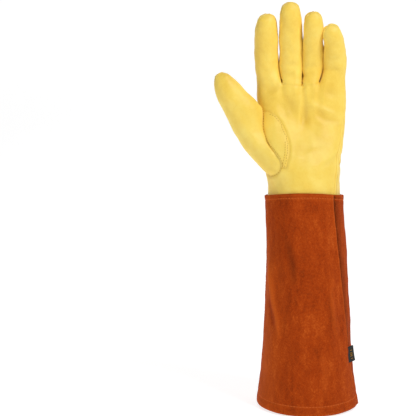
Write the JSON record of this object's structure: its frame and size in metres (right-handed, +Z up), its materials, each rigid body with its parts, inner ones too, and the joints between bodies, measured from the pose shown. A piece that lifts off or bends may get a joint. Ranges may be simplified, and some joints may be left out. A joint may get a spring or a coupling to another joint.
{
  "type": "pruning gauntlet",
  "caption": "Left-hand pruning glove of pale grain leather with a long flared suede cuff that covers the forearm, open and hollow as when worn.",
  "frame": {"origin": "centre of the cuff's open mouth, on the plane of its hem", "axes": "+Z up the arm to the fingertips, -Y out of the palm, -X on the thumb's side"},
  "size_m": [0.1513, 0.1319, 0.4198],
  "materials": {
    "grain_leather": "smooth grain, semi-matt",
    "suede": "napped split suede, matt",
    "woven_tab": "woven, matt"
  },
  "bodies": {
    "root": {"middle_front": "grain_leather", "ring_front": "grain_leather", "palm_panel": "grain_leather", "back_panel": "grain_leather", "thumb": "grain_leather", "thumb_gusset": "grain_leather", "fourchette_index_middle": "grain_leather", "fourchette_middle_ring": "grain_leather", "fourchette_ring_little": "grain_leather", "cuff_front": "suede", "cuff_back": "suede", "side_tab": "woven_tab"}
  },
  "joints": []
}
